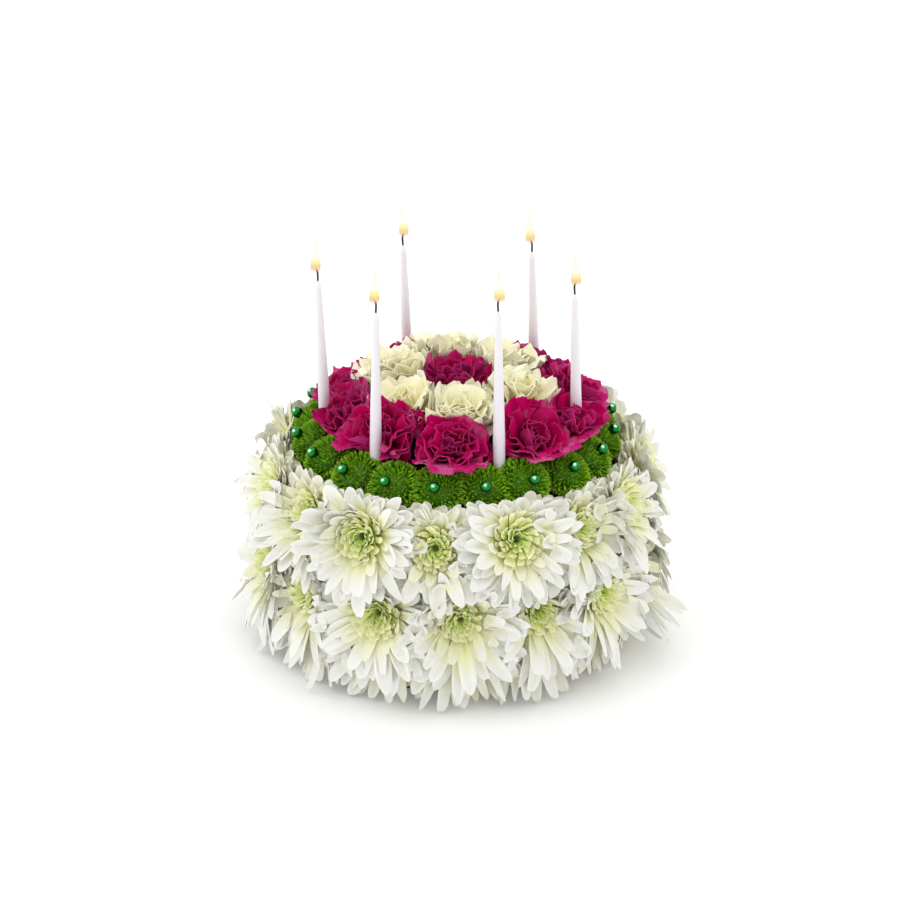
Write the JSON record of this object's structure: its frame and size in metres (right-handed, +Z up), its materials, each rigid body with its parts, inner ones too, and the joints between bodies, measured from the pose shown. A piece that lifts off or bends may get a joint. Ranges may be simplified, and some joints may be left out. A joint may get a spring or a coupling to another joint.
{
  "type": "floral birthday cake with candles",
  "caption": "Round flower arrangement in the form of a birthday cake: white blooms round the side, green buttons on the shoulder, a carnation dome and slim lit candles.",
  "frame": {"origin": "centre of the foam drum's flat underside", "axes": "+Z up along the cake's axis, and -Y to the front shown"},
  "size_m": [0.2413, 0.2401, 0.2202],
  "materials": {
    "foam": "matte",
    "white_petal": "matte",
    "mum_heart": "matte",
    "green_pom": "matte",
    "pearl": "gloss",
    "magenta_petal": "matte",
    "cream_petal": "matte",
    "wax": "satin",
    "wick": "matte",
    "flame": "matte"
  },
  "bodies": {
    "root": {"foam_core": "foam", "mum_lower_1": "white_petal", "mum_lower_2": "white_petal", "mum_lower_3": "white_petal", "mum_lower_4": "white_petal", "mum_lower_5": "white_petal", "mum_lower_6": "white_petal", "mum_lower_7": "white_petal", "mum_lower_8": "white_petal", "mum_lower_9": "white_petal", "mum_lower_10": "white_petal", "mum_lower_11": "white_petal", "mum_lower_12": "white_petal", "mum_lower_13": "white_petal", "mum_lower_14": "white_petal", "mum_lower_15": "white_petal", "mum_upper_1": "white_petal", "mum_upper_2": "white_petal", "mum_upper_3": "white_petal", "mum_upper_4": "white_petal", "mum_upper_5": "white_petal", "mum_upper_6": "white_petal", "mum_upper_7": "white_petal", "mum_upper_8": "white_petal", "mum_upper_9": "white_petal", "mum_upper_10": "white_petal", "mum_upper_11": "white_petal", "mum_upper_12": "white_petal", "mum_upper_13": "white_petal", "mum_upper_14": "white_petal", "mum_upper_15": "white_petal", "pom_ring": "green_pom", "carnation_magenta_1": "magenta_petal", "carnation_magenta_2": "magenta_petal", "carnation_magenta_3": "magenta_petal", "carnation_magenta_4": "magenta_petal", "carnation_magenta_5": "magenta_petal", "carnation_magenta_6": "magenta_petal", "carnation_magenta_7": "magenta_petal", "carnation_magenta_8": "magenta_petal", "carnation_magenta_9": "magenta_petal", "carnation_magenta_10": "magenta_petal", "carnation_cream_1": "cream_petal", "carnation_cream_2": "cream_petal", "carnation_cream_3": "cream_petal", "carnation_cream_4": "cream_petal", "carnation_cream_5": "cream_petal", "carnation_cream_6": "cream_petal", "carnation_centre": "magenta_petal", "candle_1": "wax", "candle_2": "wax", "candle_3": "wax", "candle_4": "wax", "candle_5": "wax", "candle_6": "wax"}
  },
  "joints": []
}
